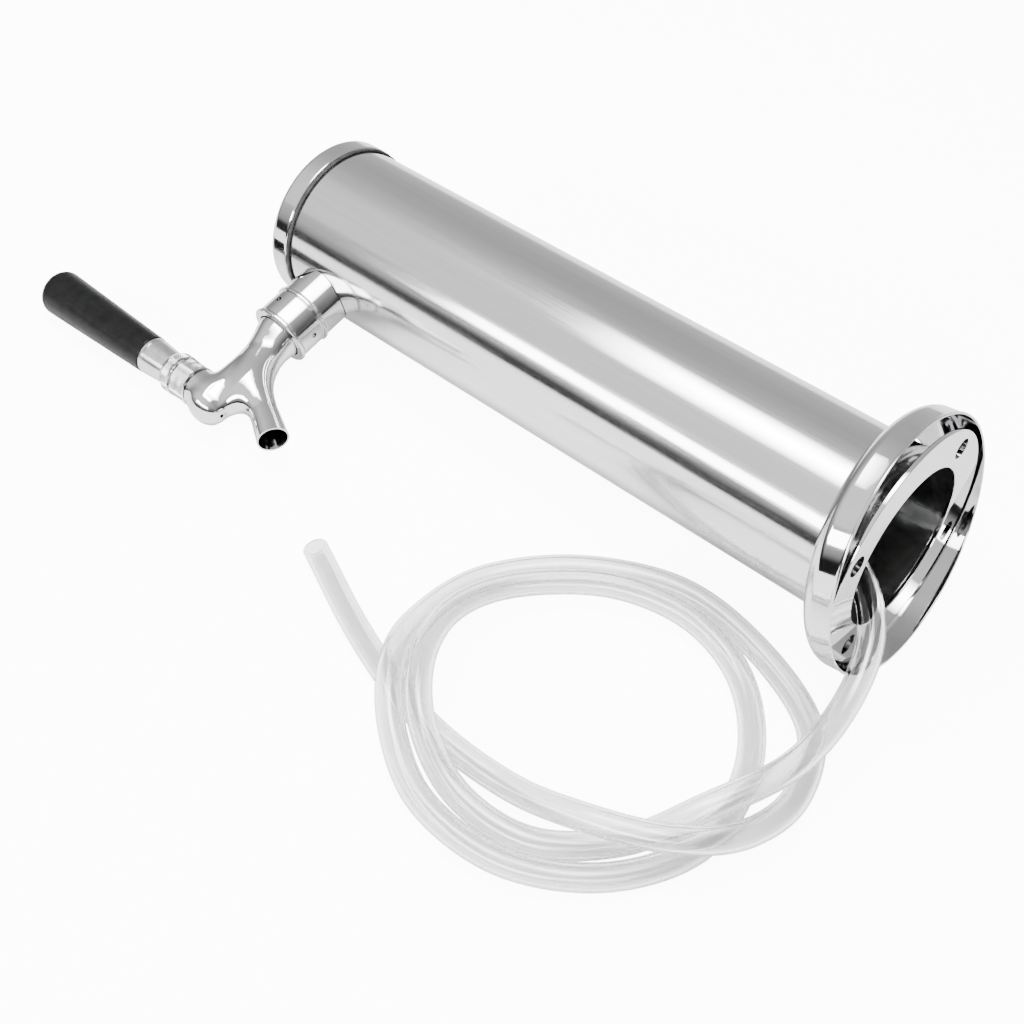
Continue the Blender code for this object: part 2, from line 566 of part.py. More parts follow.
def build():
    clear_scene()
    chrome = finish_material("chrome", (0.80, 0.80, 0.81), 0.06, 1.0)
    steel = finish_material("polished_steel", (0.72, 0.72, 0.72), 0.18, 1.0)
    satin = finish_material("satin_chrome", (0.68, 0.68, 0.68), 0.32, 1.0)
    brass = finish_material("brass", (0.72, 0.55, 0.28), 0.30, 1.0)
    rubber = finish_material("rubber", (0.02, 0.02, 0.02), 0.70, 0.0)
    foam = finish_material("foam", (0.015, 0.015, 0.015), 0.95, 0.0)
    nylon = finish_material("nylon", (0.80, 0.79, 0.75), 0.45, 0.0)
    plastic = finish_material("black_plastic", (0.012, 0.012, 0.013), 0.35, 0.0)
    vinyl = finish_material("clear_vinyl", (0.85, 0.87, 0.88), 0.12, 0.0)
    frame = tower_frame()
    pivot = (LEVER_X, 0.0, PIVOT_Z)
    sliding = (LEVER_X, 0.0, SHANK_Z)

    place(mounting_plate(), chrome, frame)
    place(column_tube(), steel, frame)
    place(top_cap(), chrome, frame)
    place(sleeve("cap_seal_ring", *SEAL_RING, ROUND), rubber, frame)
    place(sleeve("cap_plug_ring", *PLUG_RING, ROUND), nylon, frame)
    place(sleeve("foam_liner", *LINER, 48), foam, frame)
    trim = place(trim_ring(), chrome, frame)
    trim.location = TRIM_PLACE
    trim.rotation_euler = (*TRIM_TILT, 0.0)

    place(outer_saddle(), chrome, frame)
    place(inner_saddle(), brass, frame)
    place(shank_tube(), chrome, frame)
    place(lock_nut(), brass, frame)
    place(tailpiece_nut(), brass, frame)
    place(sleeve("tailpiece_washer", *TAIL_WASHER, SMALL, along_shank()), rubber, frame)
    place(elbow_tailpiece(), steel, frame)
    place(hose_clamp(), steel, frame)
    cuff = sleeve("hose_cuff", HOSE_BORE_R, HOSE_R, HOSE_CUFF_LOW, HOSE_TOP, 24,
                  Matrix.Translation((ELBOW_X, 0.0, 0.0)))
    place(cuff, vinyl, frame)
    bpy.context.view_layer.update()
    tube_ = hose(frame.matrix_world @ Vector((ELBOW_X, 0.0, HOSE_CUFF_LOW - GAP)))
    tube_.data.materials.append(vinyl)

    place(coupling_nut(), chrome, frame)
    place(sleeve("coupling_gasket", *GASKET, SMALL, along_shank()), rubber, frame)
    place(faucet_body(), chrome, frame)
    place(bonnet(), chrome, frame)
    place(sleeve("ball_washer", *BALL_WASHER, 24, at_lever()), nylon, frame)
    place(sleeve("friction_washer", *FRICTION_WASHER, 24, at_lever()), nylon, frame)

    place(valve_shaft(), steel, frame, sliding)
    place(sleeve("valve_seal", *VALVE_SEAL, 24, along_shank()), rubber, frame, sliding)
    nut_in, nut_out = VALVE_NUT[2:]
    valve_nut = hex_bar("valve_nut", VALVE_NUT[1], nut_in, nut_out, along_shank())
    cut(valve_nut, rod("bore", VALVE_NUT[0], nut_in - MM, nut_out + MM, 20, along_shank()))
    place(valve_nut, brass, frame, sliding)

    place(lever(), steel, frame, pivot)
    place(lever_collar(), chrome, frame, pivot)
    place(ferrule(), satin, frame, pivot)
    place(tap_handle(), plastic, frame, pivot)


build()
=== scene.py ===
"""Looks of the single-faucet beer tap tower, lying on a pale table with its clear hose coiled beside it.

Pieces of the tower are made in its own frame: Z up the column from the underside of the mounting
plate, X out towards the faucet. The matrix TOWER lays that frame down on the table.
"""

import math

import bmesh
import bpy
import numpy as np
from mathutils import Euler, Matrix, Vector


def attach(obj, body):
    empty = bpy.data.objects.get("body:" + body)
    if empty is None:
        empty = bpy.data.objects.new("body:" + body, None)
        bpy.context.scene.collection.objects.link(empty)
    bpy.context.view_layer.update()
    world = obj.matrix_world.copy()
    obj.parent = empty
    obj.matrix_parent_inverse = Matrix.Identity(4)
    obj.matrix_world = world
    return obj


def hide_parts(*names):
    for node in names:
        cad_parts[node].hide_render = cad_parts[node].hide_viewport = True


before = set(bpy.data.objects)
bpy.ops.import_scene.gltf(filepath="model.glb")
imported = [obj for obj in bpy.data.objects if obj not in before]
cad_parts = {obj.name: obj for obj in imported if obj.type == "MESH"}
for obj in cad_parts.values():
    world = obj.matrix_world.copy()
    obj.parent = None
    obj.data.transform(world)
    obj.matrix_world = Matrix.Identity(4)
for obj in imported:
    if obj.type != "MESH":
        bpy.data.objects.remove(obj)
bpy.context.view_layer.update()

MM = 0.001
GAP = 0.3 * MM
FINE = 256                           # sides of the large turned pieces
SMALL = 144                          # sides of the small turned pieces
ON_AXIS = 1e-9                       # a radius below this counts as none
SAME_PLACE = 0.002 * MM              # corners closer than this are one

TOWER_PLACE = (0.19564, 0.03330, 0.05330)
TOWER_SLOPE = math.radians(2.494)
TOWER_ROLL = math.radians(12.853)
TOWER_TURN = Euler((0.0, -math.pi / 2 - TOWER_SLOPE, -math.pi / 2 - TOWER_ROLL), "ZYX")
TOWER = Matrix.Translation(TOWER_PLACE) @ TOWER_TURN.to_matrix().to_4x4()

CAMERA_PLACE = (0.33700, -0.36270, 0.50915)
CAMERA_RIGHT = Vector((0.7402649, 0.67195205, 0.02209796))
CAMERA_UP = Vector((-0.51405315, 0.54451784, 0.66275915))
CAMERA_BACK = Vector((0.43330963, -0.50197686, 0.74850651))
CAMERA_LENS = 54.76                  # mm, on a 36 mm sensor

COLUMN_R = 38.1 * MM
COLUMN_WALL = 1.0 * MM
COLUMN_TOP = 317.5 * MM
COLUMN_ROWS = (272 * MM, 307 * MM)   # rows of corners below and above the shank's hole
COLUMN_CUT = (20 * MM, 60 * MM)      # the hole is drilled through the near wall only
PLATE_R = 51.2 * MM
PLATE_HOLE_R = 35.0 * MM
PLATE_THICK = 2.0 * MM
SCREW_CIRCLE_R = 43.5 * MM
SCREW_HOLE_R = 4.5 * MM
SCREW_TURNS = (42.0, 147.0, 222.0, 327.0)
CAP_R = 39.5 * MM
CAP_LOW = 310.9 * MM
CAP_TOP = 321.7 * MM
CAP_EDGE = 3.2 * MM
CAP_WALL = 0.8 * MM
TRIM_RIM_R = 55.3 * MM
TRIM_WALL_R = 55.0 * MM
TRIM_WALL_TOP = 8.4 * MM
TRIM_HEIGHT = 17.2 * MM
TRIM_HOLE_R = 39.4 * MM
TRIM_SHEET = 1.0 * MM
TRIM_PLACE = (0.25 * MM, -0.2 * MM, 14.6 * MM)
TRIM_TILT = (math.radians(7.9), math.radians(2.2), 0.0)

SHANK_Z = 289.7 * MM
SHANK_R = 11.0 * MM
SHANK_HOLE_R = SHANK_R + 0.5 * MM
THREAD_R = SHANK_R + GAP
ALONG_SHANK = Matrix.Translation((0.0, 0.0, SHANK_Z)) @ Matrix.Rotation(math.pi / 2, 4, "Y")
SADDLE_R = 14.3 * MM
SADDLE_IN = 30 * MM                  # its blank, before the column is cut from it
SADDLE_OUT = 49.8 * MM
SADDLE_CUT = (250 * MM, 330 * MM)    # heights that the column is cut from it between
NUT_IN = 50.1 * MM
NUT_OUT = 66.9 * MM
NUT_R = 14.4 * MM
NUT_RIM_R = 15.2 * MM
NUT_RIM_WIDE = 1.6 * MM
NUT_GROOVE = 0.7 * MM                # depth of the groove beside each rim
NUT_THREAD_OUT = 57.6 * MM
NUT_BORE_R = 13.3 * MM
NUT_BORE_IN = 59.0 * MM
NUT_LIP_R = 11.7 * MM
NUT_LIP_IN = 65.5 * MM
SPANNER_X = 57.5 * MM
SPANNER_HOLE_R = 1.3 * MM
SPANNER_HOLE_LOW = NUT_R - 2.4 * MM
SPANNER_HOLE_SIDES = 28
SPANNER_TURNS = (-178.5, -73.5, 54.0)

# The cast body of the faucet, in mm.
BARREL_STOPS = (58, 66, 68, 71, 75, 80, 86, 92, 98, 104, 110, 116)
BARREL_MIDDLE = (289.7, 289.7, 289.7, 289.2, 288.4, 287.6, 287.1, 287.0, 287.1, 287.4, 287.8, 287.8)
BARREL_R = (11.2, 11.2, 11.1, 10.5, 9.5, 8.6, 8.2, 8.3, 8.5, 9.0, 9.3, 9.3)
BARREL_END = 114.9
NOSE_R = 9.4
NOSE_Z = 287.8
NOSE_FLAT = 0.76                     # length of the nose, as a share of its radius
NOSE_SCALE = 0.8                     # brings its distances back to about their true size
SOCKET_X = 109.5
SOCKET_R = 9.3
SOCKET_ENDS = (287.0, 301.0)
SPOUT_ROUTE = ((84, 0, 287), (90.4, 0, 281), (96.4, 0, 273), (101.6, 0, 263.5), (109.8, 0, 248.7))
SPOUT_R = (7.6, 6.9, 6.4, 7.3, 7.5)
SPOUT_RUN_ON = 1.2                   # how far the spout runs on past its mouth, in steps of its line
NOSE_BLEND = 1.0                     # reach of the fillet where a part flows into the rest
SOCKET_BLEND = 3.0
WEB_BY_HEIGHT = ((-9.0, 4.0), (17.0, 2.0))           # the same for the web behind the spout
WEB_BY_X = ((78, 92, 102), (0.5, 0.8, 1.0))          # and a factor on it
CAST_BOX = ((60.0, -14.0, 242.0), (127.0, 14.0, 303.0))
CAST_GRID = 0.65
CAST_NUDGE = 0.05                    # step over which the field's slope is taken
CAST_ROUNDS = 3
LEAST_SLOPE = 0.2                    # keeps corners from jumping where the field is nearly flat
FAR_AWAY = 1e3

SOCKET_TOP = 298.0 * MM
SOCKET_FROM = 92 * MM                # the socket's top is cut level from here out
NECK_END = 63 * MM
SOCKET_BORE_R = 5.5 * MM
SOCKET_BORE = (294.7 * MM, 310 * MM)
VALVE_BORE_R = 4.0 * MM
VALVE_BORE = (62 * MM, 117.4 * MM)
SPOUT_BORE_FROM = 12                 # steps down the spout's line, of eight to each of its stretches
SPOUT_BORE_R = 4.4 * MM
SPOUT_FLARE = 2.2 * MM
SPOUT_FLARE_STEPS = 9
VENT_R = 0.9 * MM
VENT_DEEP = 14 * MM
VENT = Matrix.Translation((114.6 * MM, 0.4 * MM, 287.8 * MM)) @ Matrix.Rotation(math.pi, 4, "Y")

LEVER_X = 109.5 * MM
AT_LEVER = Matrix.Translation((LEVER_X, 0.0, 0.0))
STEM_R = 2.8 * MM
BONNET_R = 9.7 * MM
BONNET_LOW = 299.2 * MM
BONNET_TOP = 309.2 * MM
BONNET_NECK_R = 7.5 * MM
BONNET_EYE_R = 6.8 * MM
BONNET_SHELF = 304.8 * MM
BONNET_PITCH = 1.0 * MM
BONNET_ROWS = 90
COLLAR_LOW = 310.2 * MM
COLLAR_TOP = 316.6 * MM
COLLAR_R = 9.9 * MM
COLLAR_TOP_R = 8.9 * MM
COLLAR_DISH = (9.3 * MM, 6.0 * MM, 312.3 * MM)   # outer and inner radius and top of the hollow underside
COLLAR_PITCH = 1.4 * MM
COLLAR_ROWS = 32
KNURLS = 44                          # ridges round a knurled band
KNURL_DEPTH = 0.6 * MM
FERRULE_LOW_R = 7.9 * MM
FERRULE_R = 8.9 * MM
FERRULE_TOP = 331.9 * MM
FERRULE_STEP = 2.2 * MM              # height of the groove below its top
HANDLE_LOW_R = 9.2 * MM
HANDLE_TOP_R = 11.2 * MM
HANDLE_END = 404.7 * MM
HANDLE_EDGE = 4.5 * MM
HANDLE_BORE_END = 352 * MM

HOSE_R = 5.5 * MM
HOSE_BORE_R = 4.0 * MM
HOSE_START = Vector((-2.0 * MM, 0.0, 273.0 * MM))     # on the barb, in the tower's frame
HOSE_CUFF_LOW = Vector((-2.0 * MM, 0.0, 251.0 * MM))
HOSE_ROUTE = (                       # in mm, out of the column and then round the coil on the table
    (-42.14, 35.25, 43.4), (-24.14, 35.2, 44.2), (10.86, 41.5, 36), (76.36, 48.5, 31.3),
    (137.36, 41, 37.7), (177.86, 28, 38), (202.36, 8, 32.5), (212.36, -20, 23.7),
    (212.86, -55, 19.5), (199.86, -89.5, 17), (182.86, -116.5, 6.5), (157.36, -139.5, 6.2),
    (124.86, -143.5, 7.7), (97.36, -133.5, 17.3), (77.36, -111.5, 20), (68.36, -83.5, 14.7),
    (77.36, -55.5, 10.8), (105.36, -29.5, 10.2), (139.36, -19.5, 8.2), (171.86, -29, 5.8),
    (196.86, -58, 5.9), (204.86, -96.5, 5.7), (188.36, -130.5, 5.9), (156.36, -153, 7.5),
    (118.36, -155, 7.8), (89.36, -141.5, 14), (68.86, -119.5, 17.5), (58.36, -91.5, 9),
    (62.36, -59.5, 6), (87.36, -28.5, 5.7), (124.86, -9, 5.7), (165.36, -11.5, 5.7),
    (203.36, -28, 6), (218.36, -57, 6.2), (215.36, -87.5, 13), (198.36, -110.5, 19.5),
    (168.86, -123.5, 16.4), (134.86, -128, 6.8), (92.36, -128, 5.7), (46.36, -116, 5.7),
    (-1.14, -97, 5.7),
)
HOSE_STEPS = 10
HOSE_SIDES = 56

# Pieces kept from the model, mostly out of sight, and their finishes.
KEPT = {
    "cap_seal_ring": "rubber", "cap_plug_ring": "nylon", "foam_liner": "foam", "inner_saddle": "brass",
    "shank": "chrome", "shank_lock_nut": "brass", "tailpiece_nut": "brass", "tailpiece_washer": "rubber",
    "elbow_tailpiece": "polished_steel", "hose_clamp": "polished_steel", "coupling_gasket": "rubber",
    "ball_washer": "nylon", "friction_washer": "nylon", "valve_shaft": "polished_steel",
    "valve_seal": "rubber", "valve_nut": "brass", "lever": "polished_steel",
}

TABLE_R = 0.8
TABLE_DROP = 0.0002
TABLE_GLOW = 10.0                    # the table as seen, overexposed to plain white
TABLE_GLOW_THROUGH = 0.06            # share of that seen through the hose
ROOM = (                             # brightness of the room, by angle from overhead towards -Y
    (-180, 0.05), (-104, 0.10), (-97, 1.00), (-85, 0.85), (-60, 0.70), (-40, 0.72), (-15, 1.00),
    (5, 1.5), (38, 1.6), (55, 1.5), (58, 1.0), (72, 0.7), (79, 0.5), (85, 0.02), (104, 0.01),
    (180, 0.05),
)
ROOM_FOOT_END = (2.0, 0.02)          # how sharply the room gives way to an end wall, and its brightness
ROOM_CAP_END = (6.0, 0.35)
ROOM_SEEN = 13.0                     # what the camera sees past the table, overexposed to plain white
OVERHEAD_LAYERS = 7                  # lamps one above another, each wider, for a soft-edged reflection
OVERHEAD_GLOW = 26.0
STRIP = ((-0.92, -1.25, 0.48), (1.0, -1.15, 0.76))
STRIP_GLOW = 19.0


# --- materials ----------------------------------------------------------------------------------
class Finish:
    """A Principled material whose colour, roughness and relief can vary over the piece."""

    USUAL_LOW, USUAL_HIGH = 0.35, 0.65          # most of a grain's values lie between these

    def __init__(self, name, color, metallic, roughness, **sockets):
        self.mat = bpy.data.materials.new(name)
        self.mat.use_nodes = True
        self.nodes = self.mat.node_tree.nodes
        self.links = self.mat.node_tree.links
        self.shader = self.nodes["Principled BSDF"]
        self.shader.inputs["Base Color"].default_value = (*color, 1.0)
        self.shader.inputs["Metallic"].default_value = metallic
        self.shader.inputs["Roughness"].default_value = roughness
        for key, value in sockets.items():
            self.shader.inputs[key.replace("_", " ").title().replace("Ior", "IOR")].default_value = value
        self.mat.diffuse_color = (*color, 1.0)
        turn = self.nodes.new("ShaderNodeMapping")
        turn.inputs["Rotation"].default_value = TOWER_TURN.to_matrix().inverted().to_euler("XYZ")
        self.links.new(self.nodes.new("ShaderNodeTexCoord").outputs["Object"], turn.inputs["Vector"])
        self.coords = turn.outputs["Vector"]

    def noise(self, size, stretch=(1.0, 1.0, 1.0), detail=3.0):
        """Grain of the given size in metres, drawn out along an axis where stretch is over 1."""
        mapping = self.nodes.new("ShaderNodeMapping")
        mapping.inputs["Scale"].default_value = [1.0 / (size * s) for s in stretch]
        texture = self.nodes.new("ShaderNodeTexNoise")
        texture.inputs["Scale"].default_value = 1.0
        texture.inputs["Detail"].default_value = detail
        texture.inputs["Roughness"].default_value = 0.55
        self.links.new(self.coords, mapping.inputs["Vector"])
        self.links.new(mapping.outputs["Vector"], texture.inputs["Vector"])
        return texture.outputs["Fac"]

    def rings(self, size, axis="Z"):
        """Turning marks round an axis, as bands of the given width."""
        texture = self.nodes.new("ShaderNodeTexWave")
        texture.bands_direction = axis
        texture.inputs["Scale"].default_value = 0.05 / size
        texture.inputs["Distortion"].default_value = 1.5
        texture.inputs["Detail"].default_value = 3.0
        self.links.new(self.coords, texture.inputs["Vector"])
        return texture.outputs["Fac"]

    def spread(self, source, low, high):
        """The source's usual range stretched over the one between two values."""
        node = self.nodes.new("ShaderNodeMapRange")
        node.inputs["From Min"].default_value = self.USUAL_LOW
        node.inputs["From Max"].default_value = self.USUAL_HIGH
        node.inputs["To Min"].default_value = low
        node.inputs["To Max"].default_value = high
        self.links.new(source, node.inputs["Value"])
        return node.outputs["Result"]

    def roughen(self, source, low, high):
        """Roughness between two values."""
        self.links.new(self.spread(source, low, high), self.shader.inputs["Roughness"])

    def tint(self, source, low, high):
        """Colour between two given ones."""
        ramp = self.nodes.new("ShaderNodeValToRGB")
        ramp.color_ramp.elements[0].position = self.USUAL_LOW
        ramp.color_ramp.elements[0].color = (*low, 1.0)
        ramp.color_ramp.elements[1].position = self.USUAL_HIGH
        ramp.color_ramp.elements[1].color = (*high, 1.0)
        self.links.new(source, ramp.inputs["Fac"])
        self.links.new(ramp.outputs["Color"], self.shader.inputs["Base Color"])

    def bump(self, source, depth, strength):
        """Relief of the given depth in metres."""
        node = self.nodes.new("ShaderNodeBump")
        node.inputs["Distance"].default_value = depth
        node.inputs["Strength"].default_value = strength
        self.links.new(source, node.inputs["Height"])
        self.links.new(node.outputs["Normal"], self.shader.inputs["Normal"])


def make_finishes():
    chrome = Finish("chrome", (0.64, 0.64, 0.65), 1.0, 0.05)
    chrome.roughen(chrome.noise(9 * MM, detail=5.0), 0.03, 0.075)
    chrome.tint(chrome.noise(14 * MM), (0.61, 0.61, 0.62), (0.67, 0.67, 0.675))
    chrome.bump(chrome.noise(5 * MM), 0.012 * MM, 0.35)

    steel = Finish("polished_steel", (0.62, 0.62, 0.62), 1.0, 0.13)
    steel.roughen(steel.noise(1.2 * MM, (1.0, 1.0, 40.0), 4.0), 0.105, 0.155)
    steel.tint(steel.noise(2.5 * MM, (1.0, 1.0, 30.0)), (0.60, 0.60, 0.605), (0.64, 0.64, 0.64))
    steel.bump(steel.noise(0.5 * MM, (1.0, 1.0, 60.0)), 0.002 * MM, 0.25)

    satin = Finish("satin_chrome", (0.60, 0.60, 0.60), 1.0, 0.22)
    satin.roughen(satin.noise(0.4 * MM, (1.0, 1.0, 30.0)), 0.16, 0.26)
    satin.tint(satin.noise(3 * MM), (0.57, 0.57, 0.575), (0.63, 0.63, 0.63))
    satin.bump(satin.rings(0.35 * MM), 0.004 * MM, 0.3)

    brass = Finish("brass", (0.72, 0.55, 0.28), 1.0, 0.30)
    brass.roughen(brass.noise(2 * MM), 0.22, 0.40)
    brass.tint(brass.noise(6 * MM, detail=5.0), (0.55, 0.39, 0.18), (0.76, 0.59, 0.31))
    brass.bump(brass.rings(0.4 * MM, "X"), 0.01 * MM, 0.5)

    rubber = Finish("rubber", (0.02, 0.02, 0.02), 0.0, 0.70)
    rubber.roughen(rubber.noise(1.5 * MM), 0.60, 0.82)
    rubber.tint(rubber.noise(4 * MM), (0.012, 0.012, 0.012), (0.032, 0.031, 0.030))
    rubber.bump(rubber.noise(0.3 * MM), 0.03 * MM, 0.5)

    foam = Finish("foam", (0.012, 0.012, 0.012), 0.0, 0.95)
    foam.roughen(foam.noise(2 * MM), 0.85, 1.0)
    foam.tint(foam.noise(5 * MM), (0.006, 0.006, 0.006), (0.020, 0.020, 0.020))
    foam.bump(foam.noise(1.1 * MM, detail=6.0), 0.4 * MM, 0.8)

    nylon = Finish("nylon", (0.80, 0.79, 0.75), 0.0, 0.45, subsurface_weight=0.1)
    nylon.roughen(nylon.noise(2 * MM), 0.36, 0.55)
    nylon.tint(nylon.noise(6 * MM), (0.74, 0.73, 0.68), (0.84, 0.83, 0.79))
    nylon.bump(nylon.noise(0.5 * MM), 0.02 * MM, 0.4)

    plastic = Finish("black_plastic", (0.010, 0.010, 0.011), 0.0, 0.36, specular_ior_level=0.12)
    plastic.roughen(plastic.noise(0.8 * MM, (1.0, 1.0, 35.0)), 0.28, 0.46)
    plastic.tint(plastic.noise(5 * MM), (0.003, 0.003, 0.003), (0.006, 0.006, 0.0065))
    plastic.bump(plastic.noise(0.35 * MM, detail=4.0), 0.012 * MM, 0.5)

    vinyl = Finish("clear_vinyl", (0.985, 0.985, 0.985), 0.0, 0.03, transmission_weight=1.0, ior=1.5)
    vinyl.roughen(vinyl.noise(9 * MM), 0.015, 0.045)
    vinyl.bump(vinyl.noise(7 * MM, detail=2.0), 0.05 * MM, 0.25)
    named = (chrome, steel, satin, brass, rubber, foam, nylon, plastic, vinyl)
    return {finish.mat.name.split(".")[0]: finish.mat for finish in named}


# --- meshes -------------------------------------------------------------------------------------
def rounded(points, size, closed):
    """The outline with each corner that's off the axis rounded by a small curve."""
    least_bend, most_reach, steps = math.radians(25.0), 0.45, 3
    line = []
    count = len(points)
    for i, point in enumerate(points):
        here = Vector(point)
        at_end = not closed and i in (0, count - 1)
        if at_end or here.x < ON_AXIS:
            line.append(here)
            continue
        back, ahead = Vector(points[i - 1]) - here, Vector(points[(i + 1) % count]) - here
        bend = math.pi - back.angle(ahead)
        if bend < least_bend:
            line.append(here)
            continue
        start = here + back.normalized() * min(size, most_reach * back.length)
        end = here + ahead.normalized() * min(size, most_reach * ahead.length)
        for k in range(steps + 1):
            t = k / steps
            line.append(start * (1 - t) ** 2 + here * 2 * t * (1 - t) + end * t ** 2)
    return line


def band(bm, low, high):
    """The faces between two rings of corners, either of which can be a lone point on the axis."""
    sides = max(len(low), len(high))
    for k in range(sides):
        j = (k + 1) % sides
        corners = [low[k % len(low)], low[j % len(low)], high[j % len(high)], high[k % len(high)]]
        corners = list(dict.fromkeys(corners))
        if len(corners) > 2:
            bm.faces.new(corners)


def turned(outline, sides=SMALL, matrix=Matrix(), soft=0.25 * MM):
    """A turned solid: the outline of (radius, height) points, with softened corners, round Z."""
    closed = outline[0][0] > 0.0
    bm = bmesh.new()
    rings = []
    for point in rounded(outline, soft, closed):
        if point.x < ON_AXIS:
            rings.append([bm.verts.new(matrix @ Vector((0.0, 0.0, point.y)))])
            continue
        ring = []
        for k in range(sides):
            a = 2 * math.pi * k / sides
            spot = Vector((point.x * math.cos(a), point.x * math.sin(a), point.y))
            ring.append(bm.verts.new(matrix @ spot))
        rings.append(ring)
    for low, high in list(zip(rings, rings[1:])) + ([(rings[-1], rings[0])] if closed else []):
        band(bm, low, high)
    return bm


def shade(mesh):
    """Smooth shading, but for the edges where the surface turns by over 40 degrees."""
    mesh.shade_smooth()
    mesh.set_sharp_from_angle(angle=math.radians(40.0))


def mesh_object(name, bm):
    bmesh.ops.recalc_face_normals(bm, faces=bm.faces)
    mesh = bpy.data.meshes.new(name)
    bm.to_mesh(mesh)
    bm.free()
    shade(mesh)
    obj = bpy.data.objects.new(name, mesh)
    bpy.context.scene.collection.objects.link(obj)
    return obj


def cut(obj, *tools):
    """Cuts the solids from the object, one after another."""
    for bm in tools:
        tool = mesh_object("tool", bm)
        modifier = obj.modifiers.new("Cut", "BOOLEAN")
        modifier.operation = "DIFFERENCE"
        modifier.solver = "EXACT"
        modifier.object = tool
        graph = bpy.context.evaluated_depsgraph_get()
        mesh = bpy.data.meshes.new_from_object(obj.evaluated_get(graph))
        obj.modifiers.clear()
        obj.data = mesh
        bpy.data.objects.remove(tool, do_unlink=True)
    shade(obj.data)


def mend(obj):
    """Joins corners that lie in the same place after cuts, and closes any gap that they leave."""
    bm = bmesh.new()
    bm.from_mesh(obj.data)
    bmesh.ops.remove_doubles(bm, verts=bm.verts, dist=SAME_PLACE)
    bmesh.ops.holes_fill(bm, edges=[e for e in bm.edges if e.is_boundary], sides=8)
    bm.to_mesh(obj.data)
    bm.free()
    shade(obj.data)


def settle(obj, mat, body, nodes, matrix=TOWER):
    """Puts a finished piece in its place, on its body, instead of its CAD nodes."""
    obj.data.materials.clear()
    obj.data.materials.append(mat)
    obj.data.transform(matrix)
    weighted = obj.modifiers.new("Weighted Normal", "WEIGHTED_NORMAL")
    weighted.keep_sharp = True
    bpy.context.view_layer.update()
    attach(obj, body)
    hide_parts(*nodes)


def quarter(centre, size, steps=12):
    """A quarter of an ellipse in an outline, from its outermost point to its top."""
    points = []
    for k in range(steps + 1):
        a = math.radians(90.0 * k / steps)
        points.append((centre[0] + size[0] * math.cos(a), centre[1] + size[1] * math.sin(a)))
    return points


def bar(radius, low, high, sides=64, matrix=Matrix()):
    """A plain cylinder."""
    return turned([(0.0, low), (radius, low), (radius, high), (0.0, high)], sides, matrix, 0.0)


def smooth_line(points, steps):
    """Points on a Catmull-Rom curve through the given ones."""
    pts = [Vector(p) for p in points]
    pts = [2 * pts[0] - pts[1]] + pts + [2 * pts[-1] - pts[-2]]
    line = []
    for a, b, c, d in zip(pts, pts[1:], pts[2:], pts[3:]):
        for k in range(steps):
            t = k / steps
            line.append(0.5 * (2 * b + (c - a) * t + (2 * a - 5 * b + 4 * c - d) * t ** 2
                               + (3 * b - a - 3 * c + d) * t ** 3))
    line.append(pts[-2])
    return line


def heading(line, i):
    """The direction of a line at one of its points."""
    return (line[min(i + 1, len(line) - 1)] - line[max(i - 1, 0)]).normalized()


def section(bm, centre, side, other, radius, sides):
    """A ring of corners round a point, in the plane of two directions."""
    ring = []
    for k in range(sides):
        a = 2 * math.pi * k / sides
        ring.append(bm.verts.new(centre + (side * math.cos(a) + other * math.sin(a)) * radius))
    return ring


def tube(line, radii, sides):
    """A hollow tube along a line, between an outer and an inner radius."""
    bm = bmesh.new()
    tangent = (line[1] - line[0]).normalized()
    side = tangent.orthogonal().normalized()
    loops = [[], []]
    for i, centre in enumerate(line):
        ahead = heading(line, i)
        side = (side - ahead * side.dot(ahead)).normalized()
        for loop, radius in zip(loops, radii):
            loop.append(section(bm, centre, side, ahead.cross(side), radius, sides))
    outer, inner = loops
    ends = [(outer[0], inner[0]), (outer[-1], inner[-1])]
    for low, high in list(zip(outer, outer[1:])) + list(zip(inner, inner[1:])) + ends:
        band(bm, low, high)
    return bm


def solid_sweep(line, radii, sides):
    """A solid of round sections along a line in the plane of the spout."""
    bm = bmesh.new()
    across = Vector((0.0, 1.0, 0.0))
    rings = [section(bm, centre, across, across.cross(heading(line, i)), radii[i], sides)
             for i, centre in enumerate(line)]
    for low, high in zip(rings, rings[1:]):
        band(bm, low, high)
    bm.faces.new(rings[0])
    bm.faces.new(rings[-1])
    return bm


# --- camera and hose, made first ----------------------------------------------------------------
def make_camera():
    data = bpy.data.cameras.new("camera")
    data.sensor_width = 36.0
    data.lens = CAMERA_LENS
    data.clip_start = 0.01
    camera = bpy.data.objects.new("camera", data)
    turn = Matrix((CAMERA_RIGHT, CAMERA_UP, CAMERA_BACK)).transposed().to_4x4()
    camera.matrix_world = Matrix.Translation(CAMERA_PLACE) @ turn
    bpy.context.scene.collection.objects.link(camera)
    bpy.context.scene.camera = camera


def make_hose(mats):
    points = [TOWER @ HOSE_START, TOWER @ HOSE_CUFF_LOW] + [Vector(p) * MM for p in HOSE_ROUTE]
    line = smooth_line(points, HOSE_STEPS)
    hose = mesh_object("clear_hose", tube(line, (HOSE_R, HOSE_BORE_R), HOSE_SIDES))
    settle(hose, mats["clear_vinyl"], "tower", ("hose", "hose_cuff"), Matrix())


# --- column, foot and cap -----------------------------------------------------------------------
def make_column(mats):
    inner = COLUMN_R - COLUMN_WALL
    low = PLATE_THICK + GAP
    heights = (low, *COLUMN_ROWS, COLUMN_TOP)
    outline = [(COLUMN_R, z) for z in heights] + [(inner, z) for z in reversed(heights)]
    column = mesh_object("column", turned(outline, FINE))
    cut(column, bar(SHANK_HOLE_R, *COLUMN_CUT, 64, ALONG_SHANK))
    settle(column, mats["polished_steel"], "tower", ("column_tube",))


